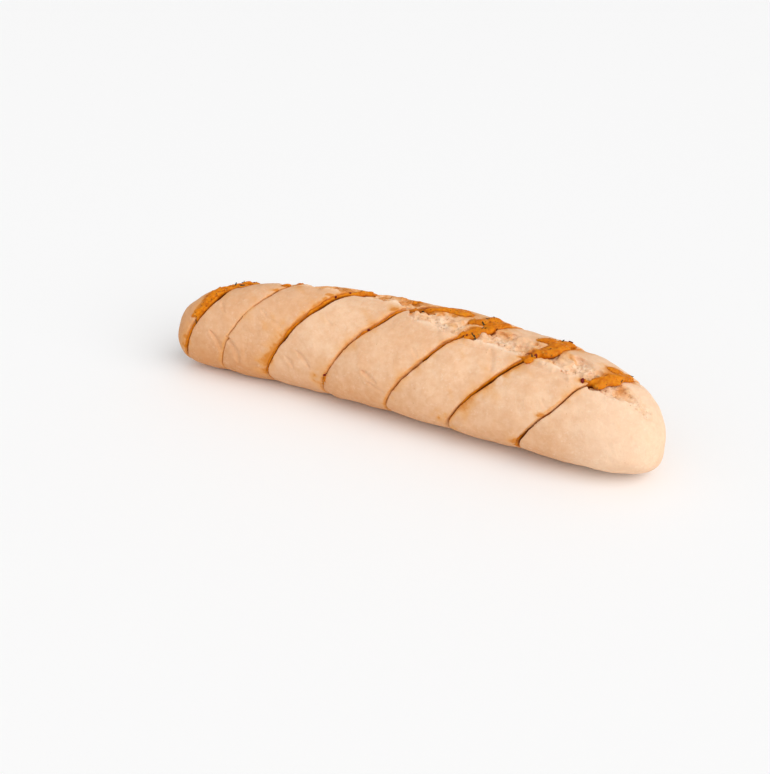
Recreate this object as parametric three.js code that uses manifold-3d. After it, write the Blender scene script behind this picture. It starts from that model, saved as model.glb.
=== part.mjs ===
// A garlic baguette, in millimetres, +Z up, resting on its flat underside, with its length along X.
// It bends so that its middle lies towards +Y, the far side, and its tips towards -Y, the near side.
// Seven slanting cuts stop short of the base, so that the slices stay joined, and each cut holds a sheet
// of garlic butter that wells up in lumps where the cut crosses the torn strip on top of the loaf.

import * as THREE from 'three';
import { mergeVertices } from 'three/addons/utils/BufferGeometryUtils.js';
import Module from 'manifold-3d';

const wasm = await Module();
wasm.setup();

// The loaf: five widths and heights, evenly spread over the middle four fifths of its length.
const LOAF_LENGTH = 287;
const WIDTHS = [45, 58.5, 76, 76.5, 70.5];
const HEIGHTS = [55.5, 55.5, 53.5, 51, 51];
const MEASURED_REACH = 0.8;
const BEND = 22; // how far the tips swing to the near side of the middle
const TIP_POWER = 5.2; // how blunt the tips are
const TIP_ROUNDNESS = 2.2;
const TIP_HEIGHT = 0.35; // of the loaf's height
const WIDEST_HEIGHT = 0.33; // of the loaf's height
const CROWN_POWER = 2.1; // the section's roundness above its widest level
const BELLY_POWER = 1.95; // and below it
const BELLY_DEPTH = 1.12; // past 1, the belly is cut off flat where it rests

// The torn strip: it crosses the top slowly from the far side to the near side.
const STRIP_START = -98;
const STRIP_END = 141;
const STRIP_TAPER = 30;
const STRIP_RIM = 15; // degrees from the top to the near rim, at the middle of the loaf
const STRIP_DRIFT = 0.06; // degrees for each millimetre along the loaf
const STRIP_WIDTH = 25; // degrees
const STRIP_DEPTH = 2.4;
const STRIP_CRAG = 0.8;
const RIM_LIFT = 0.9; // the near rim's skin curls up
const RIM_WANDER = 2.2; // degrees

// The cuts: plan angle to the loaf's own centre line, and how far the top leans to +X.
const CUT_ANGLE = 54.2;
const CUT_LEAN = 25.5;
const HINGE = 5; // bread left under each cut
const GAP_AT_BASE = 2;
const CUTS = [
  { at: -132.5, gap: 5, lumps: 2, herbs: 1, chilis: 0, ooze: 1 },
  { at: -103, gap: 2.6, lumps: 2, herbs: 1, chilis: 0, ooze: 0 },
  { at: -68, gap: 3.8, lumps: 3, herbs: 0, chilis: 1, ooze: 1 },
  { at: -27.5, gap: 3.4, lumps: 3, herbs: 1, chilis: 1, ooze: 1 },
  { at: 16.5, gap: 3.2, lumps: 4, herbs: 2, chilis: 1, ooze: 0 },
  { at: 55.5, gap: 3.4, lumps: 3, herbs: 1, chilis: 0, ooze: 1 },
  { at: 93, gap: 3.2, lumps: 3, herbs: 1, chilis: 1, ooze: 1 },
];
const SLICE_SWELL = [0.7, 0.4, 1, 0.8, 1.1, 0.6, 1, 0.5]; // each slice's crust bulges between its cuts
const SWELL_RUN = 9; // from a cut to the full bulge

// The butter.
const CLEARANCE = 0.3; // between bread and butter
const SHEET_RECESS = 0.9; // the sheet's edge lies this far inside the crust
const LUMP_LENGTH = 7; // half sizes, along the cut, across it and upwards
const LUMP_BREADTH = 3.4;
const LUMP_HEIGHT = 2.3;
const LUMP_SPREAD = 27; // degrees of the crown that the lumps cover, past the near rim on both sides
const OOZE_HEIGHT = 11;
const HERB = { length: 4.2, breadth: 1.1, thickness: 0.7 };
const CHILI = { length: 1.9, breadth: 1.5, thickness: 1 }; // half sizes

// How finely the surfaces are divided.
const STATIONS = 66;
const SIDES = { far: 6, near: 8, belly: 10 };
const STRIP_STEPS = [0.06, 0.3, 0.52, 0.75, 0.94]; // fractions of the strip's width
const STRIP_PROFILE = [0.45, 0.7, 0.85, 1, 1.1]; // fractions of its depth there

const HALF = LOAF_LENGTH / 2;
const COT = 1 / Math.tan(THREE.MathUtils.degToRad(CUT_ANGLE));
const LEAN = Math.tan(THREE.MathUtils.degToRad(CUT_LEAN));

const CRUST = new THREE.MeshStandardMaterial({ color: 0xedc79c, roughness: 0.85, metalness: 0 });
const BUTTER = new THREE.MeshStandardMaterial({ color: 0xd98a22, roughness: 0.5, metalness: 0 });

// A repeatable source of numbers from 0 to 1.
function seeded(seed) {
  let state = seed;
  return () => {
    state = (state * 1664525 + 1013904223) % 4294967296;
    return state / 4294967296;
  };
}

// A smooth curve through values at even steps over the measured part of the loaf.
function alongLoaf(values) {
  const places = values.map((_, i) => MEASURED_REACH * ((2 * i) / (values.length - 1) - 1));
  const curve = new THREE.CubicInterpolant(places, values, 1);
  return (x) => curve.evaluate(THREE.MathUtils.clamp(x / HALF, -MEASURED_REACH, MEASURED_REACH))[0];
}

const fullWidth = alongLoaf(WIDTHS);
const fullHeight = alongLoaf(HEIGHTS);

const centreLine = (x) => BEND * (1 / 3 - (x / HALF) ** 2);
const centreSlope = (x) => (-2 * BEND * x) / HALF ** 2;

// How full the section is, from 1 in the middle to 0 at the tips.
function fullness(x) {
  return Math.max(0, 1 - Math.abs(x / HALF) ** TIP_POWER) ** (1 / TIP_ROUNDNESS);
}

// A cut's surface: x as a function of y and z, with the slope of the centre line allowed for.
function cutSurface(cut) {
  const turn = 1 + centreSlope(cut.at) * COT;
  const slope = COT / turn;
  const lean = LEAN / turn;
  const stretch = Math.hypot(1, slope, lean); // from a thickness to a distance along X
  const place = (y, z) => cut.at + (y - centreLine(cut.at)) * slope + z * lean;
  return { slope, lean, stretch, place };
}

const SURFACES = CUTS.map(cutSurface);

// The bulge of the slice that a point is on, fading towards the cuts beside it.
function swell(x, y, z) {
  const past = SURFACES.map((cut) => (x - cut.place(y, z)) / cut.stretch);
  const slice = past.filter((distance) => distance > 0).length;
  const nearest = Math.min(...past.map(Math.abs));
  return SLICE_SWELL[slice] * Math.sin((Math.min(nearest / SWELL_RUN, 1) * Math.PI) / 2);
}

// The loaf's smooth section at x: angle 0 is the far side, 90 degrees the top and 180 the near side.
function crustPoint(x, angle, outward = 0) {
  const full = fullness(x);
  const height = fullHeight(x);
  const middle = WIDEST_HEIGHT * height;
  const sideways = Math.cos(angle);
  const upward = Math.sin(angle);
  const power = 2 / (upward > 0 ? CROWN_POWER : BELLY_POWER);
  const y = 0.5 * fullWidth(x) * full * Math.sign(sideways) * Math.abs(sideways) ** power;
  const top = height * (TIP_HEIGHT + (1 - TIP_HEIGHT) * full);
  const reach = upward > 0 ? top - middle : BELLY_DEPTH * middle * Math.sqrt(full);
  const z = middle + reach * Math.sign(upward) * Math.abs(upward) ** power;
  const away = new THREE.Vector2(y, z - middle).normalize();
  const offset = outward + swell(x, y + centreLine(x), z) * full;
  return new THREE.Vector3(
    x,
    y + away.x * offset + centreLine(x),
    Math.max(z + away.y * offset, Math.min(0, -outward)),
  );
}

// How open the torn strip is at x, from 0 to 1.
function stripOpening(x) {
  const run = Math.min(x - STRIP_START, STRIP_END - x) / STRIP_TAPER;
  return THREE.MathUtils.smoothstep(run, 0, 1);
}

// One ring of angles and relief at each station, with extra steps over the torn strip.
function ringSteps(x, random) {
  const wander = () => THREE.MathUtils.degToRad(RIM_WANDER * (random() - 0.5));
  const open = stripOpening(x);
  const near = THREE.MathUtils.degToRad(90 + STRIP_RIM + STRIP_DRIFT * x) + wander();
  const far = near - THREE.MathUtils.degToRad(STRIP_WIDTH) + wander();
  const spread = (from, to, count) =>
    Array.from({ length: count }, (_, i) => ({ angle: from + ((to - from) * i) / count, relief: 0 }));
  const strip = STRIP_STEPS.map((step, i) => ({
    angle: far + (near - far) * step,
    relief: open * (STRIP_CRAG * (random() - 0.5) - STRIP_DEPTH * STRIP_PROFILE[i]),
  }));
  const rim = { angle: near, relief: open * RIM_LIFT * (0.6 + random()) };
  return [
    ...spread(0, far, SIDES.far),
    { angle: far, relief: 0 },
    ...strip,
    rim,
    ...spread(near, Math.PI, SIDES.near).slice(1),
    ...spread(Math.PI, 2 * Math.PI, SIDES.belly),
  ];
}

// The whole loaf before it is cut, or the same loaf grown outwards all over.
function loafGeometry(grown = 0, stations = STATIONS) {
  const random = seeded(11);
  const points = [];
  const faces = [];
  let ring = 0;
  for (let station = 1; station < stations; station += 1) {
    const x = HALF * Math.sin(Math.PI * (station / stations - 0.5));
    const steps = ringSteps(x, random);
    ring = steps.length;
    steps.forEach((step) => points.push(crustPoint(x * (1 + grown / HALF), step.angle, step.relief + grown)));
  }
  const last = points.length - ring;
  for (let start = 0; start < last; start += ring) {
    for (let i = 0; i < ring; i += 1) {
      const next = (i + 1) % ring;
      faces.push(start + i, start + next, start + ring + next);
      faces.push(start + i, start + ring + next, start + ring + i);
    }
  }
  [-1, 1].forEach((end) => {
    const tip = points.length;
    const start = end < 0 ? 0 : last;
    points.push(new THREE.Vector3(end * (HALF + grown), centreLine(HALF), TIP_HEIGHT * fullHeight(end * HALF)));
    for (let i = 0; i < ring; i += 1) {
      const pair = [start + i, start + ((i + 1) % ring)];
      faces.push(tip, ...(end < 0 ? pair.reverse() : pair));
    }
  });
  const geometry = new THREE.BufferGeometry().setFromPoints(points);
  geometry.setIndex(faces);
  return geometry;
}

// A three.js geometry as a solid for cutting and joining.
function solidOf(geometry) {
  const bare = geometry.clone();
  bare.deleteAttribute('normal');
  bare.deleteAttribute('uv');
  const merged = mergeVertices(bare, 1e-4);
  const mesh = new wasm.Mesh({
    numProp: 3,
    vertProperties: new Float32Array(merged.attributes.position.array),
    triVerts: new Uint32Array(merged.index.array),
  });
  return new wasm.Manifold(mesh);
}

// The largest connected body of a solid, as a three.js geometry.
function geometryOf(solid) {
  const largest = solid.decompose().sort((a, b) => b.volume() - a.volume())[0];
  const mesh = largest.getMesh();
  const geometry = new THREE.BufferGeometry();
  geometry.setAttribute('position', new THREE.BufferAttribute(new Float32Array(mesh.vertProperties), 3));
  geometry.setIndex(Array.from(mesh.triVerts));
  geometry.computeVertexNormals();
  return geometry;
}

// A wedge that fills a cut from a level upwards, thinner than the gap by a margin on each side.
function wedgeSolid(cut, surface, base, margin) {
  const top = Math.max(...HEIGHTS) + 10;
  const box = new THREE.BoxGeometry(1, 3 * Math.max(...WIDTHS), top - base);
  box.translate(0, centreLine(cut.at), (top + base) / 2);
  const position = box.attributes.position;
  for (let i = 0; i < position.count; i += 1) {
    const y = position.getY(i);
    const z = position.getZ(i);
    const rise = (z - HINGE) / (fullHeight(cut.at) - HINGE);
    const gap = THREE.MathUtils.lerp(GAP_AT_BASE, cut.gap, rise) - 2 * margin;
    position.setX(i, surface.place(y, z) + position.getX(i) * gap * surface.stretch);
  }
  return solidOf(box);
}

// The point where a cut's middle surface meets the crust at an angle of the section.
function cutPoint(cut, surface, angle, outward) {
  let x = cut.at;
  let point = crustPoint(x, angle, outward);
  for (let step = 0; step < 12; step += 1) {
    x = THREE.MathUtils.lerp(x, surface.place(point.y, point.z), 0.6);
    point = crustPoint(THREE.MathUtils.clamp(x, -HALF + 1, HALF - 1), angle, outward);
  }
  return point;
}

// An uneven lump, longest along the cut.
function lumpSolid(surface, centre, size, random) {
  const lump = mergeVertices(new THREE.IcosahedronGeometry(1, 1).deleteAttribute('normal').deleteAttribute('uv'));
  const position = lump.attributes.position;
  const phase = 6 * random();
  for (let i = 0; i < position.count; i += 1) {
    const point = new THREE.Vector3().fromBufferAttribute(position, i);
    const bump = 1 + 0.12 * Math.sin(4 * point.x + phase) + 0.1 * Math.sin(5 * point.y + 2 * point.z + phase);
    point.multiplyScalar(bump).multiply(size);
    position.setXYZ(i, point.x, point.y, point.z);
  }
  lump.rotateZ(Math.atan2(1, surface.slope));
  lump.translate(centre.x, centre.y, centre.z);
  return solidOf(lump);
}

// A flake of herb or chili, turned at random about the upright and half sunk at its place.
function flakeSolid(kind, place, random) {
  const flake =
    kind === HERB
      ? new THREE.BoxGeometry(HERB.length, HERB.breadth, HERB.thickness)
      : new THREE.OctahedronGeometry(1, 0).scale(CHILI.length, CHILI.breadth, CHILI.thickness);
  flake.rotateY(0.5 * (random() - 0.5));
  flake.rotateZ(Math.PI * random());
  flake.translate(place.x, place.y, place.z);
  return solidOf(flake);
}

// The lumps that well up where a cut crosses the torn strip, with their flakes, and the ooze at its foot.
function lumpsOf(cut, surface, random) {
  const rim = THREE.MathUtils.degToRad(90 + STRIP_RIM + STRIP_DRIFT * cut.at);
  const spread = THREE.MathUtils.degToRad(LUMP_SPREAD);
  const solids = [];
  const crowns = [];
  for (let i = 0; i < cut.lumps; i += 1) {
    const angle = rim + 0.2 * spread - (1.5 * spread * (i + 0.4 + 0.3 * random())) / cut.lumps;
    const scale = 0.75 + 0.4 * random();
    const size = new THREE.Vector3(LUMP_LENGTH, LUMP_BREADTH, LUMP_HEIGHT).multiplyScalar(scale);
    const centre = cutPoint(cut, surface, angle, 0.2);
    solids.push(lumpSolid(surface, centre, size, random));
    crowns.push(centre.clone().setZ(centre.z + 0.93 * size.z));
  }
  if (cut.ooze > 0) {
    const foot = THREE.MathUtils.degToRad(180 + OOZE_HEIGHT);
    const size = new THREE.Vector3(LUMP_HEIGHT, 0.6 * LUMP_BREADTH, 0.8 * LUMP_LENGTH);
    solids.push(lumpSolid(surface, cutPoint(cut, surface, foot, -0.6), size, random));
  }
  const kinds = [...Array(cut.herbs).fill(HERB), ...Array(cut.chilis).fill(CHILI)];
  kinds.forEach((kind, i) => {
    const place = crowns[Math.floor((crowns.length * (i + 0.5)) / kinds.length)];
    solids.push(flakeSolid(kind, place, random));
  });
  return solids.reduce((whole, solid) => whole.add(solid));
}

const loaf = solidOf(loafGeometry());
const clearOfLoaf = solidOf(loafGeometry(CLEARANCE));
const insideLoaf = solidOf(loafGeometry(-SHEET_RECESS, STATIONS / 2));

function bread() {
  const cuts = CUTS.map((cut, i) => wedgeSolid(cut, SURFACES[i], HINGE, 0));
  return geometryOf(cuts.reduce((whole, wedge) => whole.subtract(wedge), loaf));
}

function butter(index) {
  const cut = CUTS[index];
  const surface = SURFACES[index];
  const wedge = wedgeSolid(cut, surface, HINGE + CLEARANCE, CLEARANCE);
  const lumps = lumpsOf(cut, surface, seeded(101 + index));
  const sheet = wedge.intersect(insideLoaf.add(lumps));
  return geometryOf(sheet.add(lumps.subtract(clearOfLoaf)));
}

function piece(name, geometry, material) {
  const mesh = new THREE.Mesh(geometry, material);
  mesh.name = name;
  return mesh;
}

const baguette = new THREE.Group();
baguette.add(piece('loaf', bread(), CRUST));
CUTS.forEach((_, i) => baguette.add(piece(`butter_${i + 1}`, butter(i), BUTTER.clone())));

// The origin is the middle of the box round the loaf, on the surface it rests on.
const extent = new THREE.Box3().setFromObject(baguette);
const middle = extent.getCenter(new THREE.Vector3());
baguette.position.set(-middle.x, -middle.y, -extent.min.z);

export default baguette;
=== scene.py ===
"""Dresses a garlic baguette: a floury crust torn open along its top, crumb, and herb butter in its cuts.

Shapes are worked out in millimetres, in the loaf's own place, and are made metres in the frame at the end.
Every place round the loaf is an angle of its section: 0 is the far side, 90 the top and 180 the near side.
"""

import math

import bpy
import numpy as np
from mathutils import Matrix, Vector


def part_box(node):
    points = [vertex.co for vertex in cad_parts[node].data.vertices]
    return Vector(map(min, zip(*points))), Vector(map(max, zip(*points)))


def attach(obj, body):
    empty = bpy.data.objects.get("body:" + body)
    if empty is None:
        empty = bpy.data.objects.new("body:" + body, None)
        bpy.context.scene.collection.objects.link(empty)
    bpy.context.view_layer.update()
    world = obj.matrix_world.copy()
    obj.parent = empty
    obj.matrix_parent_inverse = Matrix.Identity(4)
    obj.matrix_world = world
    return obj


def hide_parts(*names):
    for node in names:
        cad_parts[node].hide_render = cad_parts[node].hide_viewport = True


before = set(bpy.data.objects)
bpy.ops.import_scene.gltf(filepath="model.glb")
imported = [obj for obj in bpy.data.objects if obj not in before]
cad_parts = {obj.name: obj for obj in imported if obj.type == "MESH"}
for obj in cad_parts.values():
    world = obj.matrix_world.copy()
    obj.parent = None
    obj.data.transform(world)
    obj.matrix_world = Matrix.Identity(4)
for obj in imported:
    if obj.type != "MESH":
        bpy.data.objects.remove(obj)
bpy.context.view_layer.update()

import openvdb
from mathutils import Vector

bl_info = {
    "name": "Garlic Baguette",
    "version": (1, 0, 0),
    "blender": (4, 5, 0),
    "location": "3D View > Sidebar > Baguette",
    "description": "Builds a garlic baguette with torn crust, crumb and herb butter",
    "category": "Add Mesh",
}

MM = 0.001

# The loaf, as in the solids: its widths and heights at even steps over its measured part, the share of it
# that was measured, how far its tips bend aside, and how its tips and its section are rounded.
LOAF_LENGTH = 287
HALF = LOAF_LENGTH / 2
WIDTHS = (45, 58.5, 76, 76.5, 70.5)
HEIGHTS = (55.5, 55.5, 53.5, 51, 51)
MEASURED_REACH = 0.8
BEND = 22
TIP_POWER = 5.2
TIP_ROUNDNESS = 2.2
TIP_HEIGHT = 0.35
WIDEST_HEIGHT = 0.33
CROWN_POWER = 2.1
BELLY_POWER = 1.95
BELLY_DEPTH = 1.12

# The torn strip: where it runs and over what length it opens, the angle of its near rim and how far that
# drifts with each millimetre, the strip's width in degrees, and how far back its rim shifts between two
# places.
STRIP_START, STRIP_END = -98, 141
STRIP_TAPER = 30
STRIP_RIM = 105
STRIP_DRIFT = 0.06
STRIP_WIDTH = 25
STRIP_SHIFT = 16
SHIFT_RUN = (3, -9)

# The cuts: their slant from above and their lean from the side, the height at which they stop, how far their
# course lies aside, and how far from the strip's rim and how widely they bow.
CUT_ANGLE = math.radians(54.2)
CUT_LEAN = math.radians(25.5)
HINGE = 5
CUT_ASIDE = 0.5
BOW_PLACE = -5
BOW_SPREAD = 9

# Each cut. A gap is given at its foot, half way up, at the top of the crust and on the torn strip. Bow is how
# far the cut swings aside, step is how far the slice after it lies below the one before it, and soak is how
# strongly the butter has stained the two. A spill is an angle, a distance beside the cut, a radius and
# a thickness.
CUTS = (
    {
        "at": -132.5, "gap": (1.2, 2.0, 3.0, 4.2), "bow": -2.2, "step": 1.0, "soak": (0.8, 0.4), "lumps": 3,
        "spills": (
            (134, -2.0, 2.0, 0.4), (127, -2.3, 2.4, 0.5), (119, -2.7, 2.7, 0.7), (111, -3.0, 2.9, 0.8),
            (103, -3.3, 3.2, 0.9), (95, -3.5, 3.4, 0.9), (86, -3.6, 3.5, 1.0), (77, -3.5, 3.5, 0.9),
            (67, -3.3, 3.4, 0.8), (57, -2.6, 3.0, 0.6), (172, -1.2, 2.6, -0.5),
        ),
    },
    {
        "at": -103, "gap": (0.6, 0.6, 0.8, 1.4), "bow": -1.5, "step": 0.2, "soak": (0.35, 0.2), "lumps": 0,
        "spills": ((98, -1, 1.6, 0.4), (86, -1.6, 2, 0.6), (72, -1.6, 2.4, 0.6)),
    },
    {
        "at": -68, "gap": (0.9, 1.3, 2.9, 3.4), "bow": -1.8, "step": 0.9, "soak": (1.0, 0.3), "lumps": 1,
        "spills": ((97, -3, 2, 0.4), (82, -3, 3.4, 0.8), (66, -1.5, 4, 0.9), (176, -1.5, 3.2, -0.5)),
    },
    {
        "at": -27.5, "gap": (0.8, 0.5, 2.1, 3.0), "bow": -2.4, "step": 0.9, "soak": (0.75, 0.35), "lumps": 0,
        "spills": (
            (98, -2.4, 2, 0.4), (84, 4, 3, 0.6), (78, 6, 5, 1.2), (73, 10.5, 6, 1.4), (76, 15.5, 4.6, 1.0),
            (70, -9, 4, 0.5), (178, -1.5, 3.4, -0.5),
        ),
    },
    {
        "at": 16.5, "gap": (0.8, 0.75, 1.8, 3.0), "bow": -1.8, "step": 0.7, "soak": (0.6, 0.8), "lumps": 4,
        "spills": (
            (102, 0.4, 3, 1.2), (93, -2, 4, 1.3), (81, -2, 4, 1.5), (82, -8, 4.5, 1.3),
            (70, -8, 5, 1.5), (72, -1, 4, 1.4),
        ),
    },
    {
        "at": 55.5, "gap": (1.1, 1.2, 2.1, 3.0), "bow": -1.0, "step": 0.6, "soak": (0.45, 1.0), "lumps": 4,
        "spills": (
            (109, -2, 1.8, 0.4), (99, -1.6, 3.2, 1.2), (89, -2, 4, 1.4), (80, -3, 4.4, 1.6),
            (78, -9, 4.4, 1.4), (69, -4.5, 5, 1.4), (179, -1.6, 3.4, -0.5),
        ),
    },
    {
        "at": 93, "gap": (1.5, 0.9, 0.7, 3.0), "bow": -2.2, "step": 0.5, "soak": (0.5, 0.35), "lumps": 4,
        "spills": (
            (111, -2.6, 2.2, 0.8), (101, -2.2, 3.2, 1.2), (90, -2.4, 3.8, 1.4), (77, -6, 5, 1.5),
            (70, -1.5, 4, 1.4), (153, -0.6, 1.2, 0.3), (184, -1.2, 2.2, -0.5),
        ),
    },
)

# How far each slice swells between its cuts, over what length it does so, how browned each slice is, with
# painted shade that darkens the slices towards the narrow end, and between which places the broad end is
# painted paler, as painted light.
SLICE_SWELL = (0.7, 0.4, 1, 0.8, 1.1, 0.6, 1, 0.5)
SWELL_RUN = 9
SLICE_BROWNING_AND_SHADE = (0.7, 0.46, 0.42, 0.06, 0.24, 0.06, 0.06, 0.04)
PAINTED_LIGHT_END = (85, 120)

# The butter. Its stain along the crest has an angle and a spread in degrees, and sets in and fades between
# places. Beside a cut it is drawn into the crust over a reach. A spill is a dome that is raised and then sunk
# a little, so that it has a clear edge, and it ends at a limit in radii squared. Bare and far off are where
# no spill or crease has come yet.
CREST_ANGLE = 72
CREST_SPREAD = 14
CREST_START, CREST_END = (-90, -58), (46, 20)
DRAWN_REACH = 4.5
SPILL_RAISED = 0.6
SPILL_SUNK = 0.3
SPILL_LIMIT = 9
BARE = -4.0
FAR_OFF = 99.0

# Creases in the crust: where each starts and ends, as a place along the loaf and an angle, its sag, its
# half width and its depth. Faint ones lie at random, but not on the torn strip.
FAINT_CREASES = 34
FAINT_SIZE = (1.2, 0.4)
CREASES = (
    ((-116.5, 155), (-109.5, 177), 2.0, 1.5, 1.6),
    ((-105, 160), (-97.5, 188), 2.6, 1.7, 1.9),
    ((-112, 118), (-107, 136), -0.8, 1.2, 0.6),
    ((-86, 128), (-82, 134), 0.4, 0.9, 0.6),
    ((-67.5, 168), (-61.5, 176), 0.6, 1.2, 1.2),
    ((-60, 161), (-51, 172), 1.0, 1.4, 1.4),
    ((-46, 126), (-41, 131), -0.5, 0.9, 0.5),
    ((-19, 160), (-8.5, 168), 0.8, 1.3, 1.3),
    ((-14, 169), (-4, 174), -0.7, 1.1, 1.0),
    ((7, 130), (12, 139), 0.6, 1.1, 0.5),
    ((48, 111), (52, 129), 0.5, 2.0, 0.9),
    ((22, 116), (46, 112), -1.2, 1.2, 0.7),
    ((70, 114), (96, 118), 1.2, 1.2, 0.6),
    ((82, 140), (88, 150), -0.6, 1.1, 0.5),
    ((116, 112), (131, 115), 0.8, 1.1, 0.8),
    ((127, 104), (137, 112), -1.0, 1.1, 0.8),
)

# The camera, in the loaf's own place.
CAMERA_PLACE = (197.65, -466.6, 314.0)
CAMERA_TURN = math.radians(24.7)
CAMERA_PITCH = math.radians(31)
FOCAL_PIXELS = 1050
FRAME_PIXELS = 774
SENSOR = 36

# How finely the surfaces are made, how far from a surface distances are kept, the room round the loaf, the
# triangles of the bread and of each butter, and the points of the smallest scrap that stays.
VOXEL = 0.5
BAND = 4.0
ROOM = 6
BREAD_TRIANGLES = 195000
BUTTER_TRIANGLES = 38000
SMALLEST_ISLAND = 200

# How far light goes into bread and butter, how much darker a topping's mottling is, and where toppings start.
GLOW_REACH = 2 * MM
MOTTLING = 0.45
TOPPINGS_ABOVE = 20


# ---- settings

def linear(*screen):
    """A colour from its screen values, 0 to 255."""
    return tuple(((c / 255 + 0.055) / 1.055) ** 2.4 if c > 10 else c / 255 / 12.92 for c in screen)


def colour_setting(name, description, *screen):
    return bpy.props.FloatVectorProperty(
        name=name, description=description, subtype="COLOR", size=3, min=0, max=1, default=linear(*screen),
    )


def length_setting(name, description, millimetres):
    return bpy.props.FloatProperty(
        name=name, description=description, unit="LENGTH", min=0, default=millimetres * MM, precision=4,
    )


def count_setting(name, description, default):
    return bpy.props.IntProperty(name=name, description=description, default=default, min=0)


def strength_setting(name, description, default):
    return bpy.props.FloatProperty(name=name, description=description, default=default, min=0)


class BaguetteBread(bpy.types.PropertyGroup):
    """The bread's sizes and colours"""

    strip_depth: length_setting("Strip Depth", "How deep the torn strip lies below the crust", 1.9)
    crag: length_setting("Crag", "How uneven the torn crumb is", 0.8)
    rim_lift: length_setting("Rim Lift", "How far the torn crust curls up", 0.9)
    edge: length_setting("Edge", "How rounded the crust is beside a cut", 0.45)
    pores: count_setting("Pores", "Open bubbles in the torn crumb", 1100)
    skin: colour_setting("Skin", "The crust where it is palest", 244, 204, 168)
    skin_shade: colour_setting("Skin Shade", "The crust's darker patches", 232, 184, 144)
    # Browned crust with painted shade, used low down and on the slices towards the narrow tip.
    browned_and_shaded: colour_setting("Toasted", "The crust low down and at the narrow tip", 212, 150, 98)
    flour: colour_setting("Flour", "Flour that clings to the crust", 253, 228, 202)
    freckle: colour_setting("Freckle", "Small browned specks", 186, 126, 78)
    crumb: colour_setting("Crumb", "The torn crumb", 246, 214, 184)
    crumb_shade: colour_setting("Crumb Shade", "The torn crumb's darker patches", 234, 192, 154)
    # Painted shade in the crumb's small pores.
    pore_shade: colour_setting("Pore", "The small pores of the crumb", 206, 160, 118)
    soaked: colour_setting("Soaked", "Bread soaked with butter", 230, 160, 76)
    soaked_shade: colour_setting("Soaked Shade", "Where most butter has soaked in", 212, 128, 28)


class BaguetteButter(bpy.types.PropertyGroup):
    """The butter's sizes and colours"""

    crevice: length_setting("Crevice", "How far the butter falls away from the slice beyond it", 3.2)
    lump_length: length_setting("Lump Length", "Half the length of a lump, along its cut", 4.5)
    lump_breadth: length_setting("Lump Breadth", "Half the breadth of a lump", 2.9)
    lump_height: length_setting("Lump Height", "Half the height of a lump", 2.1)
    body: colour_setting("Body", "The butter", 222, 131, 10)
    shade: colour_setting("Shade", "The butter's darker patches", 198, 106, 6)
    cream: colour_setting("Cream", "Paler grains", 230, 150, 36)
    # Painted shade for the butter deep in a cut.
    deep: colour_setting("Deep", "The butter deep in a cut", 112, 50, 4)
    speck: colour_setting("Speck", "Ground spice", 120, 58, 14)


class BaguetteToppings(bpy.types.PropertyGroup):
    """Herbs, chilli, garlic and spice in the butter"""

    herb_length: length_setting("Herb Length", "The length of a herb leaf", 2.8)
    chilli_length: length_setting("Chilli Length", "The length of a chilli flake", 2.2)
    garlic_length: length_setting("Garlic Length", "The size of a bit of garlic", 1.3)
    spice_length: length_setting("Spice Length", "The size of a grain of spice", 0.5)
    herbs: count_setting("Herbs", "Herb leaves", 16)
    chillis: count_setting("Chillis", "Chilli flakes", 9)
    garlics: count_setting("Garlics", "Bits of garlic", 40)
    spices: count_setting("Spices", "Grains of spice", 70)
    herb: colour_setting("Herb", "Dried herb", 62, 62, 44)
    chilli: colour_setting("Chilli", "Dried chilli", 126, 22, 16)
    garlic: colour_setting("Garlic", "Chopped garlic", 226, 146, 44)
    spice: colour_setting("Spice", "Ground pepper", 84, 42, 22)


class BaguetteStage(bpy.types.PropertyGroup):
    """The floor and the light"""

    floor: colour_setting("Floor", "The floor", 249, 249, 249)
    sky: strength_setting("Sky", "Strength of the light all round", 0.58)
    key: strength_setting("Key", "Strength of the main light", 1.9)
    fill: strength_setting("Fill", "Strength of the second light", 0.32)


# ---- fields

def smoothstep(low, high, value):
    """A smooth rise from 0 at low to 1 at high, or a fall where low is the larger."""
    t = np.clip((value - low) / (high - low), 0, 1)
    return t * t * (3 - 2 * t)


def smooth_max(a, b, reach):
    """The larger of two fields, rounded where they meet."""
    return np.maximum(a, b) + reach / 4 * np.clip(1 - np.abs(a - b) / reach, 0, None) ** 2


def smooth_min(a, b, reach):
    """The smaller of two fields, rounded where they meet."""
    return -smooth_max(-a, -b, reach)


class Noise:
    """Smooth noise of about unit strength on a lattice with a given scale in millimetres."""

    # What brings the smoothed values back to unit strength, and the lattice's size and lowest corner.
    LEVEL = 2.3
    REACH = np.array([LOAF_LENGTH + 60, 180, 130])
    LOW = -np.array([HALF + 30, 90, 30])

    def __init__(self, seed, scale):
        self.scale = scale
        count = np.ceil(self.REACH / scale).astype(int) + 4
        self.lattice = np.random.default_rng(seed).standard_normal(count).astype(np.float32) * self.LEVEL

    def taps(self, values, axis):
        """The first of three lattice lines round each value, and their quadratic spline weights."""
        place = (values - self.LOW[axis]) / self.scale + 1
        first = np.floor(place).astype(int)
        t = (place - first).astype(np.float32)
        return first, (0.5 * (1 - t) ** 2, 0.5 + t * (1 - t), 0.5 * t * t)

    def on(self, block):
        """The noise on a block of voxels."""
        field = self.lattice
        for axis, values in enumerate(block.lines):
            first, weights = self.taps(values, axis)
            shape = [1, 1, 1]
            shape[axis] = len(values)
            field = sum(np.take(field, first + k, axis=axis) * weights[k].reshape(shape) for k in range(3))
        return field

    def at(self, points):
        """The noise at scattered points."""
        firsts, weights = zip(*(self.taps(points[:, axis], axis) for axis in range(3)))
        total = np.zeros(len(points), np.float32)
        for i, j, k in np.ndindex(3, 3, 3):
            value = self.lattice[firsts[0] + i, firsts[1] + j, firsts[2] + k]
            total += value * weights[0][i] * weights[1][j] * weights[2][k]
        return total


def layered(block, *layers):
    """Layers of noise on a block of voxels, each with its strength, its seed and its scale."""
    return sum(strength * Noise(seed, scale).on(block) for strength, seed, scale in layers)


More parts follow.
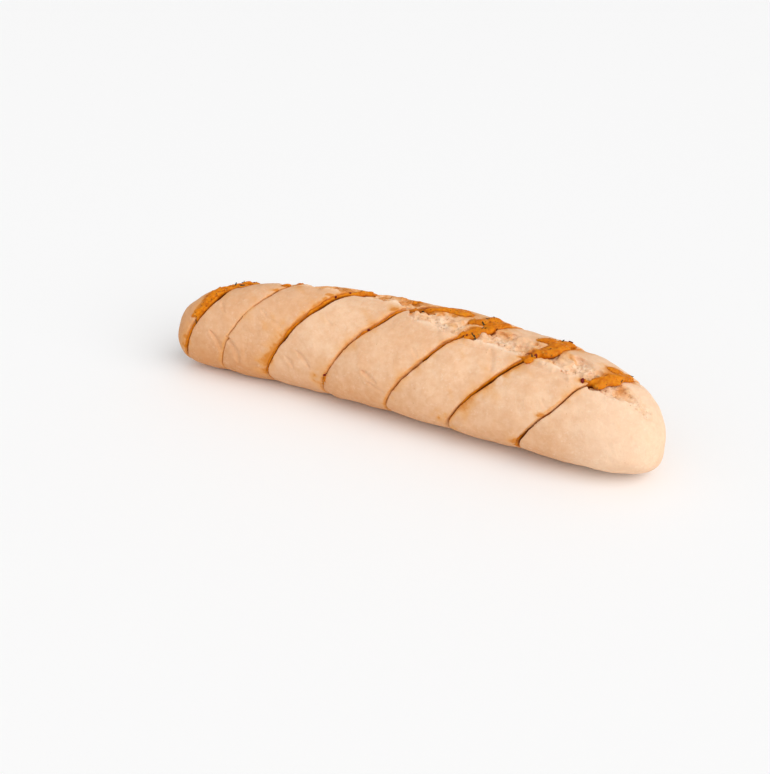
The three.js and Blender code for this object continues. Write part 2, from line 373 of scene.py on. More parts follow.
class Block:
    """A box of voxels, with its corner in whole voxels."""

    def __init__(self, low, high):
        self.first = np.floor(np.array(low) / VOXEL).astype(int)
        last = np.ceil(np.array(high) / VOXEL).astype(int)
        self.size = last - self.first + 1
        self.lines = [(self.first[a] + np.arange(self.size[a])) * VOXEL for a in range(3)]

    @property
    def axes(self):
        x, y, z = (line.astype(np.float32) for line in self.lines)
        return x[:, None, None], y[None, :, None], z[None, None, :]

    def window(self, low, high):
        """The part of this block between two corners, and its slices."""
        low = np.maximum(np.floor(np.array(low) / VOXEL).astype(int), self.first)
        high = np.minimum(np.ceil(np.array(high) / VOXEL).astype(int), self.first + self.size - 1)
        part = Block(low * VOXEL, high * VOXEL)
        start = part.first - self.first
        return part, tuple(slice(s, s + n) for s, n in zip(start, part.size))

    def round(self, centre, reach):
        """The window round a point."""
        return self.window(centre - reach, centre + reach)

    def sample(self, field, points):
        """The field's values at scattered points, between voxels."""
        place = np.clip(points / VOXEL - self.first, 0, self.size - 1.001)
        first = place.astype(int)
        t = place - first
        total = np.zeros(len(points))
        for corner in np.ndindex(2, 2, 2):
            weight = np.prod([t[:, a] if corner[a] else 1 - t[:, a] for a in range(3)], axis=0)
            total += weight * field[tuple(first[:, a] + corner[a] for a in range(3))]
        return total

    def surface(self, field):
        """The zero surface of a field, without its smallest islands, as points and quads."""
        grid = openvdb.FloatGrid(BAND)
        grid.copyFromArray(np.ascontiguousarray(field, np.float32))
        points, quads = grid.convertToQuads()
        island = islands(len(points), quads)
        large = np.bincount(island, minlength=len(points)) >= SMALLEST_ISLAND
        quads = quads[large[island[quads[:, 0]]]]
        kept = np.unique(quads)
        number = np.zeros(len(points), int)
        number[kept] = np.arange(len(kept))
        return (points[kept] + self.first) * VOXEL, number[quads]


def islands(count, faces):
    """The lowest point number of each point's connected surface."""
    label = np.arange(count)
    pairs = np.vstack([faces[:, [0, 1]], faces[:, [1, 2]], faces[:, [2, 3]]]).astype(int)
    while True:
        ends = label[pairs]
        lowest = ends.min(axis=1)
        joined = label.copy()
        np.minimum.at(joined, ends[:, 0], lowest)
        np.minimum.at(joined, ends[:, 1], lowest)
        while not np.array_equal(joined, joined[joined]):
            joined = joined[joined]
        joined = joined[label]
        if np.array_equal(joined, label):
            return label
        label = joined


# ---- the loaf's shape

def along(values, x):
    """A smooth curve through values at even steps over the measured part of the loaf."""
    last = len(values) - 1
    t = (np.clip(x / HALF, -MEASURED_REACH, MEASURED_REACH) / MEASURED_REACH + 1) / 2 * last
    i = np.minimum(t.astype(int), last - 1)
    p = t - i
    padded = np.array([2 * values[0] - values[1], *values, 2 * values[-1] - values[-2]])
    a, b, c, d = (padded[i + k] for k in range(4))
    return b + 0.5 * p * (c - a + p * (2 * a - 5 * b + 4 * c - d + p * (3 * (b - c) + d - a)))


def centre_line(x):
    """How far the loaf's middle lies aside at x."""
    return BEND * (1 / 3 - (x / HALF) ** 2)


class Section:
    """The loaf's smooth section at x."""

    def __init__(self, x):
        full = np.clip(1 - np.abs(x / HALF) ** TIP_POWER, 0, None) ** (1 / TIP_ROUNDNESS)
        height = along(HEIGHTS, x)
        self.full = full
        self.half_width = 0.5 * along(WIDTHS, x) * full
        self.middle = WIDEST_HEIGHT * height
        self.rise = height * (TIP_HEIGHT + (1 - TIP_HEIGHT) * full) - self.middle
        self.drop = BELLY_DEPTH * self.middle * np.sqrt(full)
        self.centre = centre_line(x)


class Cut:
    """A cut's middle surface, turned with the loaf's centre line."""

    def __init__(self, at, gap, bow, step, soak, lumps, spills):
        turn = 1 - 2 * BEND * at / HALF ** 2 / math.tan(CUT_ANGLE)
        self.at = at
        self.gap = gap
        self.bow = bow
        self.step = step
        self.soak = soak
        self.lumps = lumps
        self.spills = spills
        self.slope = 1 / math.tan(CUT_ANGLE) / turn
        self.lean = math.tan(CUT_LEAN) / turn
        self.stretch = math.hypot(1, self.slope, self.lean)
        self.centre = centre_line(at)
        self.height = float(along(HEIGHTS, np.array(float(at))))
        self.course = Vector((self.slope, 1, 0)).normalized()

    def place(self, y, z):
        return self.at + (y - self.centre) * self.slope + z * self.lean

    def straight(self, x, y, z):
        """The signed distance from the straight middle surface, towards +X."""
        return (x - self.place(y, z)) / self.stretch

    def run(self, x, y, z):
        """The signed distance from the cut as it runs, with its bow at the strip's rim, and half its gap."""
        near, far = strip_places(x, y, z)
        bowed = self.bow * np.exp(-(((near - BOW_PLACE) / BOW_SPREAD) ** 2))
        beside = self.straight(x, y, z) + CUT_ASIDE - bowed
        rise = np.clip((z - HINGE) / (self.height - HINGE), 0, 1)
        foot, waist, top, torn = self.gap
        wall = np.where(rise < 0.5, foot + (waist - foot) * 2 * rise, waist + (top - waist) * (2 * rise - 1))
        over = smoothstep(-2, 3, near) * smoothstep(-14, -2, far)
        return beside, 0.5 * (wall + (torn - wall) * over)

    def meet(self, angle, outward=0):
        """The point where this cut meets the crust at an angle of the section."""
        x = np.array(float(self.at))
        point = crust_points(x, np.array(angle), outward)
        for _ in range(16):
            x = x + 0.6 * (self.place(point[1], point[2]) - x)
            point = crust_points(np.clip(x, 1 - HALF, HALF - 1), np.array(angle), outward)
        return point

    def spilled(self, x, y, z):
        """How thick the butter that has spilled from this cut lies on the bread, below 0 where it is bare.

        Also how far off the nearest spill is, in its radii squared.
        """
        beside, _ = self.run(x, y, z)
        angle, radius = section_angle(x, y, z)
        thick = np.full(np.shape(beside), BARE, np.float32)
        nearest = np.full(np.shape(beside), FAR_OFF, np.float32)
        for degrees, aside, reach, most in self.spills:
            away = ((beside - aside) ** 2 + ((angle - math.radians(degrees)) * radius) ** 2) / reach ** 2
            nearest = np.minimum(nearest, away)
            dome = np.where(away < SPILL_LIMIT, (most + SPILL_RAISED) * (1 - away), BARE)
            thick = np.maximum(thick, dome - SPILL_SUNK)
        return thick, nearest

    def box(self, margin):
        """The lowest and highest corners of what this cut and its butter may reach."""
        side, top = 50, 64
        ys = np.array([-side, side]) + self.centre
        places = [self.place(y, z) for y in ys for z in (0, top)]
        return (min(places) - margin, ys[0], -ROOM / 2), (max(places) + margin, ys[1], top + ROOM)


SURFACES = [Cut(**cut) for cut in CUTS]


def swell(x, y, z):
    """The bulge of each slice's crust between its cuts."""
    past = np.stack([surface.straight(x, y, z) for surface in SURFACES])
    nearest = np.abs(past).min(axis=0)
    amount = np.array(SLICE_SWELL)[(past > 0).sum(axis=0)]
    return amount * np.sin(np.minimum(nearest / SWELL_RUN, 1) * math.pi / 2)


def crust_points(x, angle, outward=0):
    """Points of the smooth crust, or of the crust grown outwards."""
    section = Section(x)
    sideways, upward = np.cos(angle), np.sin(angle)
    power = 2 / np.where(upward > 0, CROWN_POWER, BELLY_POWER)
    y = section.half_width * np.sign(sideways) * np.abs(sideways) ** power
    reach = np.where(upward > 0, section.rise, section.drop)
    rise = reach * np.sign(upward) * np.abs(upward) ** power
    away = np.maximum(np.hypot(y, rise), 1e-6)
    offset = outward + swell(x, y + section.centre, section.middle + rise) * section.full
    z = section.middle + rise * (1 + offset / away)
    return np.stack(np.broadcast_arrays(x, y * (1 + offset / away) + section.centre, np.maximum(z, 0)))


def crust_mesh(stations=260, ring=160):
    """The smooth crust as a closed mesh: points, quads and the triangles at its tips."""
    x = HALF * np.sin(math.pi * (np.arange(1, stations) / stations - 0.5))
    angle = np.arange(ring) * 2 * math.pi / ring
    points = crust_points(x[:, None], angle[None, :]).reshape(3, -1).T
    station, side = np.meshgrid(np.arange(stations - 2), np.arange(ring), indexing="ij")
    this, after = station * ring + side, station * ring + (side + 1) % ring
    quads = np.stack([this, after, after + ring, this + ring], axis=-1).reshape(-1, 4)
    tips = [[end * HALF, centre_line(HALF), TIP_HEIGHT * HEIGHTS[0 if end < 0 else -1]] for end in (-1, 1)]
    last = (stations - 2) * ring
    sides = np.arange(ring)
    turned = (sides + 1) % ring
    triangles = [np.stack([np.full(ring, len(points)), turned, sides], axis=-1)]
    triangles.append(np.stack([np.full(ring, len(points) + 1), last + sides, last + turned], axis=-1))
    return np.vstack([points, tips]), quads, np.vstack(triangles)


CRUST_POINTS, CRUST_QUADS, CRUST_TRIANGLES = crust_mesh()
LOAF_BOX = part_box("loaf")
CRUST_MIDDLE = (CRUST_POINTS[:, 1].min() + CRUST_POINTS[:, 1].max()) / 2
SHIFT = np.array([0, (LOAF_BOX[0][1] + LOAF_BOX[1][1]) / 2 / MM - CRUST_MIDDLE, 0])


def section_angle(x, y, z):
    """The angle round the section and the distance from its middle."""
    section = Section(x)
    across, up = y - section.centre, z - section.middle
    angle = np.arctan2(up / np.maximum(section.rise, 1), across / np.maximum(section.half_width, 1))
    return np.where(angle < -math.pi / 2, angle + 2 * math.pi, angle), np.hypot(across, up)


def strip_rim(x):
    """The angle of the strip's near rim, which lies further back at the narrow end."""
    return np.radians(STRIP_RIM + STRIP_DRIFT * x - STRIP_SHIFT * smoothstep(*SHIFT_RUN, x))


def strip_opening(x):
    """How far the torn strip has opened at x, from 0 at its ends to 1."""
    return smoothstep(0, STRIP_TAPER, np.minimum(x - STRIP_START, STRIP_END - x))


def strip_places(x, y, z):
    """How far a place lies inside the strip's near rim and its far rim, in millimetres along the crust."""
    angle, radius = section_angle(x, y, z)
    near = strip_rim(x)
    far = near - math.radians(STRIP_WIDTH)
    return (near - angle) * radius, (angle - far) * radius


def crust_distance(block):
    """The signed distance to the smooth crust on a block of voxels."""
    grid = openvdb.FloatGrid.createLevelSetFromPolygons(
        CRUST_POINTS.astype(np.float32) / VOXEL,
        triangles=CRUST_TRIANGLES.astype(np.uint32),
        quads=CRUST_QUADS.astype(np.uint32),
        halfWidth=BAND / VOXEL,
    )
    field = np.empty(block.size, np.float32)
    grid.copyToArray(field, tuple(int(i) for i in block.first))
    return field * VOXEL


# ---- the bread

class Dough:
    """The bread as a field of voxels: the smooth crust's distance, and the bread's own."""

    def __init__(self, settings):
        self.settings = settings
        self.block = Block(CRUST_POINTS.min(axis=0) - ROOM, CRUST_POINTS.max(axis=0) + ROOM)
        self.crust = crust_distance(self.block)
        # The crust is uneven, which fades out inside the loaf.
        rough = layered(self.block, (0.32, 11, 26), (0.2, 12, 9), (0.1, 13, 3.2))
        self.bread = self.crust - rough * smoothstep(5, 0, -self.crust)
        self.step_slices()
        self.tear_strip()
        self.stamp_pores()
        self.press_creases()
        self.open_cuts()
        # The underside is flat, with a rounded edge.
        self.bread[:] = smooth_max(self.bread, -self.block.axes[2], 0.8)

    def step_slices(self):
        """Sets each slice a little below the one before it, beside their cut."""
        reach, fade = 16, 5
        for cut in SURFACES:
            part, window = self.block.window(*cut.box(reach))
            x, y, z = part.axes
            beside, _ = cut.run(x, y, z)
            drop = 0.5 * cut.step * np.sign(beside) * np.exp(-np.abs(beside) / fade) * smoothstep(8, 34, z)
            self.bread[window] += drop * smoothstep(reach, 10, np.abs(beside))

    def tear_strip(self):
        """Sinks the torn strip into the crust, with crags and a ragged lifted rim."""
        depth_of_strip, crag = self.settings.strip_depth / MM, self.settings.crag / MM
        spare, side, lowest, highest = 5, 60, 12, 70
        low, high = (STRIP_START - spare, -side, lowest), (HALF + spare, side, highest)
        part, window = self.block.window(low, high)
        x, y, z = part.axes
        near, far = strip_places(x, y, z)
        depth = -self.crust[window]
        opening = strip_opening(x)
        # Both rims are ragged, and they close in where the strip ends.
        closing = 3 * (1 - opening)
        ragged = layered(part, (1.1, 21, 7), (0.7, 22, 2.6), (0.35, 28, 1.3))
        near = near + ragged + 0.5 * np.clip(depth, 0, 3) - closing
        far = far + 1.6 * Noise(23, 9).on(part) + 0.5 * Noise(24, 2.4).on(part) - closing
        # The floor is craggy, and lies deepest beside the near rim.
        rough = crag * layered(part, (0.9, 25, 5), (0.6, 26, 2.1), (0.3, 29, 1.1))
        floor = depth_of_strip * (0.7 + 0.8 * np.exp(-np.clip(near, 0, None) / 4)) + rough
        sunk = floor * smoothstep(0, 0.7, near) * smoothstep(0, 3, far) * opening
        # The crust's torn edge curls up along the near rim.
        curl = np.clip(self.settings.rim_lift / MM * (0.8 + 0.6 * Noise(27, 6).on(part)), 0, 2)
        lift = curl * opening * np.exp(-np.clip(-near, 0, None) / 2.2) * (near < 0.35) * (far > 3)
        self.bread[window] += np.where(depth > -3.5, sunk - lift, 0)

    def stamp_pores(self):
        """Opens the crumb's bubbles in the floor of the torn strip, where that lies deep enough."""
        smallest, spread, least_depth = 0.5, 0.9, 0.9
        random = np.random.default_rng(31)
        count = self.settings.pores
        x = random.uniform(STRIP_START + 12, STRIP_END - 6, count)
        angle = strip_rim(x) - math.radians(STRIP_WIDTH) * random.uniform(0.04, 0.96, count)
        radius = smallest + spread * random.random(count) ** 3
        floor = self.block.sample(self.bread, crust_points(x, angle).T)
        centres = crust_points(x, angle, 0.45 * radius - floor).T
        for centre, size in zip(centres[floor > least_depth], radius[floor > least_depth]):
            reach = np.array([1.6, 1.1, 1]) * size
            part, window = self.block.round(centre, reach + 1)
            gap = np.sqrt(sum(((a - c) / r) ** 2 for a, c, r in zip(part.axes, centre, reach)))
            self.bread[window] = smooth_max(self.bread[window], (1 - gap) * size, 0.4)

    def press_creases(self):
        """Presses the folds and wrinkles into the crust."""
        random = np.random.default_rng(32)
        xs, angles = random.uniform(-120, 125, FAINT_CREASES), random.uniform(-50, 230, FAINT_CREASES)
        faint = []
        for x, angle in zip(xs, angles):
            if not 70 < angle < 125:
                end = (x + random.uniform(4, 12), angle + random.uniform(-14, 14))
                faint.append(((x, angle), end, random.uniform(-1, 1), *FAINT_SIZE))
        for start, end, sag, half_width, depth in (*CREASES, *faint):
            ends = np.radians([start[1], end[1]])
            steps = np.linspace(0, 1, 28)
            bend = 4 * steps * (1 - steps)
            x = start[0] + (end[0] - start[0]) * steps + sag * bend
            path = crust_points(x, ends[0] + (ends[1] - ends[0]) * steps).T
            part, window = self.block.window(path.min(axis=0) - 4, path.max(axis=0) + 4)
            away = np.full(part.size, FAR_OFF, np.float32)
            for point, strength in zip(path, bend):
                gap = sum((a - p) ** 2 for a, p in zip(part.axes, point))
                away = np.minimum(away, gap / max(strength, 0.15))
            groove = np.exp(-away / half_width ** 2) - 0.35 * np.exp(-away / (2.6 * half_width) ** 2)
            self.bread[window] += depth * groove

    def open_cuts(self):
        """Cuts the gaps, with a slightly wavy course and an uneven width, most of all near the crust."""
        for index, cut in enumerate(SURFACES):
            part, window = self.block.window(*cut.box(8))
            x, y, z = part.axes
            outer = smoothstep(7, 0, -self.crust[window])
            wave = 0.3 * Noise(41 + index, 16).on(part) + (0.16 * Noise(51 + index, 3.5).on(part)) * outer
            beside, gap = cut.run(x, y, z)
            gap = gap * (1 + 0.2 * Noise(61 + index, 8).on(part) * outer)
            slot = np.maximum(np.abs(beside + wave) - gap, HINGE - z)
            self.bread[window] = smooth_max(self.bread[window], -slot, self.settings.edge / MM)


# ---- meshes

def new_object(name, data):
    """A new object in the scene."""
    thing = bpy.data.objects.new(name, data)
    bpy.context.collection.objects.link(thing)
    return thing


def mesh_piece(name, points, faces, triangles):
    """A mesh object of millimetre points in the loaf's own place, thinned to a number of triangles."""
    mesh = bpy.data.meshes.new(name)
    mesh.from_pydata((points + SHIFT) * MM, [], faces.tolist())
    piece = new_object(name, mesh)
    thinner = piece.modifiers.new("Thin", "DECIMATE")
    thinner.ratio = min(1, triangles / (2 * len(faces)))
    bake_modifiers(piece)
    piece.data.shade_smooth()
    return piece


def bake_modifiers(piece):
    """Turns what a piece's modifiers make into its plain mesh."""
    before = piece.data
    graph = bpy.context.evaluated_depsgraph_get()
    piece.data = bpy.data.meshes.new_from_object(piece.evaluated_get(graph))
    piece.modifiers.clear()
    bpy.data.meshes.remove(before)
    piece.data.name = piece.name


def vectors(layer, name):
    """The named vector of each item in one layer of a mesh."""
    values = np.empty(3 * len(layer), np.float32)
    layer.foreach_get(name, values)
    return values.reshape(-1, 3)


def points_of(piece):
    """A piece's points in millimetres, in the loaf's own place."""
    return vectors(piece.data.vertices, "co") / MM - SHIFT


def set_attribute(mesh, name, values, kind="FLOAT"):
    """Gives each point of a mesh a number or a vector under a name."""
    layer = mesh.attributes.new(name, kind, "POINT")
    layer.data.foreach_set("value" if kind == "FLOAT" else "vector", np.asarray(values, np.float32).ravel())


def declare(piece, material, slot, *nodes):
    """Gives a finished piece its material and its body, and hides the nodes that it replaces. The slot is not
    used.
    """
    piece.data.materials.clear()
    piece.data.materials.append(material)
    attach(piece, "root")
    if nodes:
        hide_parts(*nodes)


# ---- nodes

class Value:
    """A node's socket that carries a number, a colour or a vector, with arithmetic."""

    def __init__(self, graph, socket):
        self.graph = graph
        self.socket = socket

    def math(self, operation, other, swapped=False):
        """A Math node on this value and another, the other way round if swapped."""
        pair = (other, self) if swapped else (self, other)
        return self.graph.node("ShaderNodeMath", {"operation": operation}, dict(enumerate(pair)))

    def __add__(self, other):
        return self.math("ADD", other)

    def __sub__(self, other):
        return self.math("SUBTRACT", other)

    def __mul__(self, other):
        return self.math("MULTIPLY", other)

    def __rsub__(self, other):
        return self.math("SUBTRACT", other, swapped=True)

    __radd__ = __add__
    __rmul__ = __mul__

    def step(self, low, high):
        """A smooth rise from 0 at low to 1 at high."""
        settings = {"interpolation_type": "SMOOTHSTEP"}
        return self.graph.node("ShaderNodeMapRange", settings, {0: self, 1: low, 2: high})


class Graph:
    """A node tree whose nodes are made by one method."""

    def __init__(self, tree):
        self.tree = tree

    def node(self, kind, settings, sockets, output=0):
        """Adds a node with its settings and its sockets' values or links, and gives one of its outputs."""
        node = self.tree.nodes.new(kind)
        for name, value in settings.items():
            setattr(node, name, value)
        self.plug(node, sockets)
        return Value(self, node.outputs[output])

    def plug(self, node, sockets):
        for name, value in sockets.items():
            if isinstance(value, Value):
                self.tree.links.new(value.socket, node.inputs[name])
            else:
                node.inputs[name].default_value = value

    def vector(self, operation, *values):
        sockets = {"Scale" if operation == "SCALE" and i else i: value for i, value in enumerate(values)}
        return self.node("ShaderNodeVectorMath", {"operation": operation}, sockets)


class Shader(Graph):
    """A material on Object coordinates."""

    def __init__(self, name):
        self.material = bpy.data.materials.new(name)
        self.material.use_nodes = True
        super().__init__(self.material.node_tree)
        self.surface = self.tree.nodes["Principled BSDF"]
        self.place = self.node("ShaderNodeTexCoord", {}, {}, "Object")

    def noise(self, scale_mm, detail=3, roughness=0.5):
        scale = 1 / (scale_mm * MM)
        sockets = {"Vector": self.place, "Scale": scale, "Detail": detail, "Roughness": roughness}
        return self.node("ShaderNodeTexNoise", {}, sockets)

    def cells(self, scale_mm):
        return self.node("ShaderNodeTexVoronoi", {}, {"Vector": self.place, "Scale": 1 / (scale_mm * MM)})

    def dots(self, scale_mm, low, high, patches):
        """Round dots that fade between two shares of their spacing, where the patches let them show."""
        return (1 - self.cells(scale_mm).step(low, high)) * patches

    def attribute(self, name):
        return self.node("ShaderNodeAttribute", {"attribute_name": name}, {}, "Fac")

    def mix(self, factor, a, b):
        a, b = (value if isinstance(value, Value) else (*value, 1) for value in (a, b))
        return self.node("ShaderNodeMix", {"data_type": "RGBA"}, {"Factor": factor, 6: a, 7: b}, 2)

    def bump(self, height, strength, distance_mm, *normal):
        """A Bump node, on top of another where one is given."""
        sockets = {"Height": height, "Strength": strength, "Distance": distance_mm * MM}
        sockets.update({"Normal": value for value in normal})
        return self.node("ShaderNodeBump", {}, sockets)

    def finish(self, **sockets):
        """The material, with these on its shader's sockets."""
        self.plug(self.surface, {name.replace("_", " "): value for name, value in sockets.items()})
        return self.material


def bread_material(settings):
    """Floury crust, pale porous crumb where it is torn or cut, stains of melted butter, painted shade low
    down, towards the narrow end and in the pores, and painted light at the broad end.
    """
    shader = Shader("floury_crust")
    crumb = shader.attribute("crumb")
    stain = shader.attribute("stain")
    patches = shader.noise(14, 4, 0.6)
    dapple = shader.noise(3.6, 5, 0.65)
    grain = shader.noise(1.5, 4, 0.7)
    skin = shader.mix((0.55 * patches + 0.45 * dapple).step(0.34, 0.66), settings.skin, settings.skin_shade)
    # Browning with painted shade, low down and on the slices towards the narrow end, broken up by the dapple;
    # less at the broad end, where painted light lies.
    toast = shader.attribute("toast") * (0.6 + 0.8 * dapple)
    skin = shader.mix(toast, skin, settings.browned_and_shaded)
    # Flour in fine patches and on the torn rim; the rim attribute also holds the broad end's painted light.
    dusted = grain.step(0.5, 0.72) * shader.noise(9, 2).step(0.35, 0.65) * 0.3 + shader.attribute("rim") * 0.7
    skin = shader.mix(dusted, skin, settings.flour)
    freckled = shader.dots(4.5, 0.03, 0.085, shader.noise(26, 1).step(0.48, 0.6)) * 0.55
    skin = shader.mix(freckled, skin, settings.freckle)
    # Pore dots: pits in the bump, with painted shade in them from the pore shade colour.
    hollow = shader.dots(1.7, 0.16, 0.42, shader.noise(3.2, 2).step(0.38, 0.58))
    inner = shader.mix(shader.noise(4, 4, 0.6).step(0.38, 0.64), settings.crumb, settings.crumb_shade)
    inner = shader.mix(hollow * 0.5, inner, settings.pore_shade)
    base = shader.mix(crumb, skin, inner)
    blotch = shader.noise(2.4, 4, 0.6)
    soaked = (stain * (0.55 + 0.9 * blotch)).step(0.02, 1.0)
    wet = shader.mix(soaked.step(0.45, 1), settings.soaked, settings.soaked_shade)
    base = shader.mix(soaked * 0.92, base, wet)
    fine = shader.bump(shader.noise(0.8, 4, 0.7), 0.35, 0.3)
    folds = shader.bump(dapple, 0.6, 0.9, fine)
    torn = shader.bump(hollow, crumb * 0.7, -0.6, folds)
    return shader.finish(
        Base_Color=base, Roughness=0.84 - 0.3 * soaked, Normal=torn, Specular_IOR_Level=0.25,
        Subsurface_Weight=0.1, Subsurface_Radius=(1.0, 0.55, 0.35), Subsurface_Scale=GLOW_REACH,
    )


def butter_material(settings):
    """Soft orange garlic butter, with painted shade where it lies deep in a cut."""
    shader = Shader("garlic_butter")
    lumps = shader.noise(3.4, 4, 0.6)
    body = shader.mix(lumps.step(0.36, 0.66), settings.body, settings.shade)
    body = shader.mix(shader.noise(1.6, 3).step(0.5, 0.72) * 0.5, body, settings.cream)
    # Painted shade where the butter lies deep in a cut.
    body = shader.mix(shader.attribute("deep"), body, settings.deep)
    dotted = shader.dots(2.1, 0.05, 0.14, shader.noise(5, 1).step(0.45, 0.6)) * 0.5
    body = shader.mix(dotted, body, settings.speck)
    grain = shader.bump(shader.noise(0.7, 3, 0.6), 0.4, 0.3)
    soft = shader.bump(lumps, 0.45, 0.9, grain)
    return shader.finish(
        Base_Color=body, Roughness=0.4 + 0.3 * lumps, Normal=soft, Specular_IOR_Level=0.14,
        Subsurface_Weight=0.15, Subsurface_Radius=(1.0, 0.45, 0.12), Subsurface_Scale=GLOW_REACH,
    )


def topping_material(name, colour, roughness):
    """A dried leaf, flake or grain, mottled towards a darker tone."""
    shader = Shader(name)
    shaded = tuple(channel * MOTTLING for channel in colour)
    mottled = shader.mix(shader.noise(0.9, 3).step(0.35, 0.65), tuple(colour), shaded)
    wrinkled = shader.bump(shader.noise(0.5, 3), 0.5, 0.2)
    return shader.finish(Base_Color=mottled, Roughness=roughness, Normal=wrinkled, Specular_IOR_Level=0.15)


def topping_tree():
    """Puts a crumpled grain at each place, turned with the surface and spun at random."""
    tree = bpy.data.node_groups.new("toppings", "GeometryNodeTree")
    sockets = (
        ("Places", "Geometry"), ("Length", "Float"), ("Width", "Float"), ("Thickness", "Float"),
        ("Curl", "Float"), ("Crumple", "Float"), ("Detail", "Int"), ("Seed", "Int"), ("Finish", "Material"),
    )
    for name, kind in sockets:
        tree.interface.new_socket(name, in_out="INPUT", socket_type=f"NodeSocket{kind}")
    tree.interface.new_socket("Geometry", in_out="OUTPUT", socket_type="NodeSocketGeometry")
    graph = Graph(tree)
    given = tree.nodes.new("NodeGroupInput")
    entry = {name: Value(graph, given.outputs[name]) for name, _ in sockets}
    ball = graph.node("GeometryNodeMeshIcoSphere", {}, {"Radius": 0.5, "Subdivisions": entry["Detail"]})
    place = graph.node("GeometryNodeInputPosition", {}, {})
    lumps = graph.node("ShaderNodeTexNoise", {}, {"Vector": place, "Scale": 2.3, "Detail": 1.0})
    crumpled = graph.vector("SCALE", place, (lumps - 0.5) * entry["Crumple"] + 1)
    sides = {0: entry["Length"], 1: entry["Width"], 2: entry["Thickness"]}
    size = graph.node("ShaderNodeCombineXYZ", {}, sides)
    sized = graph.vector("MULTIPLY", crumpled, size)
    run = graph.node("ShaderNodeSeparateXYZ", {}, {0: place})
    arch = graph.node("ShaderNodeCombineXYZ", {}, {2: run * run * entry["Curl"] * entry["Length"]})
    arched = graph.vector("ADD", sized, arch)
    shape = graph.node("GeometryNodeSetPosition", {}, {"Geometry": ball, "Position": arched})
    normal = graph.node("GeometryNodeInputNamedAttribute", {"data_type": "FLOAT_VECTOR"}, {"Name": "normal"})
    upright = graph.node("FunctionNodeAlignRotationToVector", {"axis": "Z"}, {"Vector": normal})
    spin = graph.node(
        "FunctionNodeRandomValue", {"data_type": "FLOAT_VECTOR"},
        {0: (-0.35, -0.35, -math.pi), 1: (0.35, 0.35, math.pi), "Seed": entry["Seed"]},
    )
    turn = graph.node("FunctionNodeEulerToRotation", {}, {0: spin})
    turned = graph.node("FunctionNodeRotateRotation", {"rotation_space": "LOCAL"}, {0: upright, 1: turn})
    scale = graph.node(
        "FunctionNodeRandomValue", {"data_type": "FLOAT"}, {2: 0.6, 3: 1.3, "Seed": entry["Seed"] + 7}, 1,
    )
    copies = graph.node(
        "GeometryNodeInstanceOnPoints", {},
        {"Points": entry["Places"], "Instance": shape, "Rotation": turned, "Scale": scale},
    )
    whole = graph.node("GeometryNodeRealizeInstances", {}, {0: copies})
    finished = graph.node("GeometryNodeSetMaterial", {}, {"Geometry": whole, "Material": entry["Finish"]})
    graph.plug(tree.nodes.new("NodeGroupOutput"), {"Geometry": finished})
    return tree


# ---- operators

# What an operator leaves for the ones after it: the dough, and the list of butters.
MADE = {}


def stain_of(points, depth, crumb):
    """How much butter has soaked in at each point: most in the cuts, beside them, and round spills."""
    x, y, z = points.T
    angle, _ = section_angle(x, y, z)
    near, far = strip_places(x, y, z)
    # A tinge over the torn strip, and the stain along the crest.
    inside = smoothstep(-1, 2, near) * smoothstep(-1, 2, far) * strip_opening(x)
    stain = 0.2 * inside * (1 + 1.1 * Noise(75, 6).at(points))
    crest = np.exp(-(((np.degrees(angle) - CREST_ANGLE) / CREST_SPREAD) ** 2))
    crest = crest * smoothstep(*CREST_START, x) * smoothstep(*CREST_END, x)
    stain = np.maximum(stain, crest * np.clip(0.85 + 0.3 * Noise(76, 5).at(points), 0.3, 1))
    high = smoothstep(6, 46, z)
    broken = Noise(78, 1.8).at(points) + 0.6 * Noise(79, 4).at(points)
    for index, cut in enumerate(SURFACES):
        beside, gap = cut.run(x, y, z)
        edge = np.clip(np.abs(beside) - gap, 0, None)
        # Close beside the cut, in streaks that reach further high up and in the crumb.
        run = x * cut.course.x + y * cut.course.y
        streak = Noise(77, 2.8).at(np.stack([run, 0.35 * beside, np.full(len(x), 12.0 * index)], axis=-1))
        share = np.where(beside < 0, cut.soak[0], cut.soak[1])
        reach = (0.45 + 2.6 * high * share ** 2 + 3.0 * crumb * high) * np.exp(streak)
        stain = np.maximum(stain, (0.4 + 0.45 * share) * np.exp(-edge / reach))
        # Drawn further into the crust of a well soaked slice, in broken patches.
        drawn = share ** 2 * np.exp(-edge / DRAWN_REACH) * np.clip(0.8 + 0.55 * broken + 0.3 * streak, 0, 1.1)
        stain = np.maximum(stain, 0.95 * drawn * smoothstep(2, 14, z))
        # On the cut's own walls.
        walls = smoothstep(1.1, 0.3, edge) * smoothstep(0.5, 1.5, depth)
        stain = np.maximum(stain, walls * np.clip(0.8 + 0.3 * streak, 0.3, 1.1))
        # Under a spill and round it.
        thick, nearest = cut.spilled(x, y, z)
        stain = np.maximum(stain, smoothstep(-0.4, 0.1, thick))
        stain = np.maximum(stain, 0.95 * np.exp(-0.5 * nearest) * np.clip(0.85 + 0.4 * broken, 0.1, 1.3))
    return stain


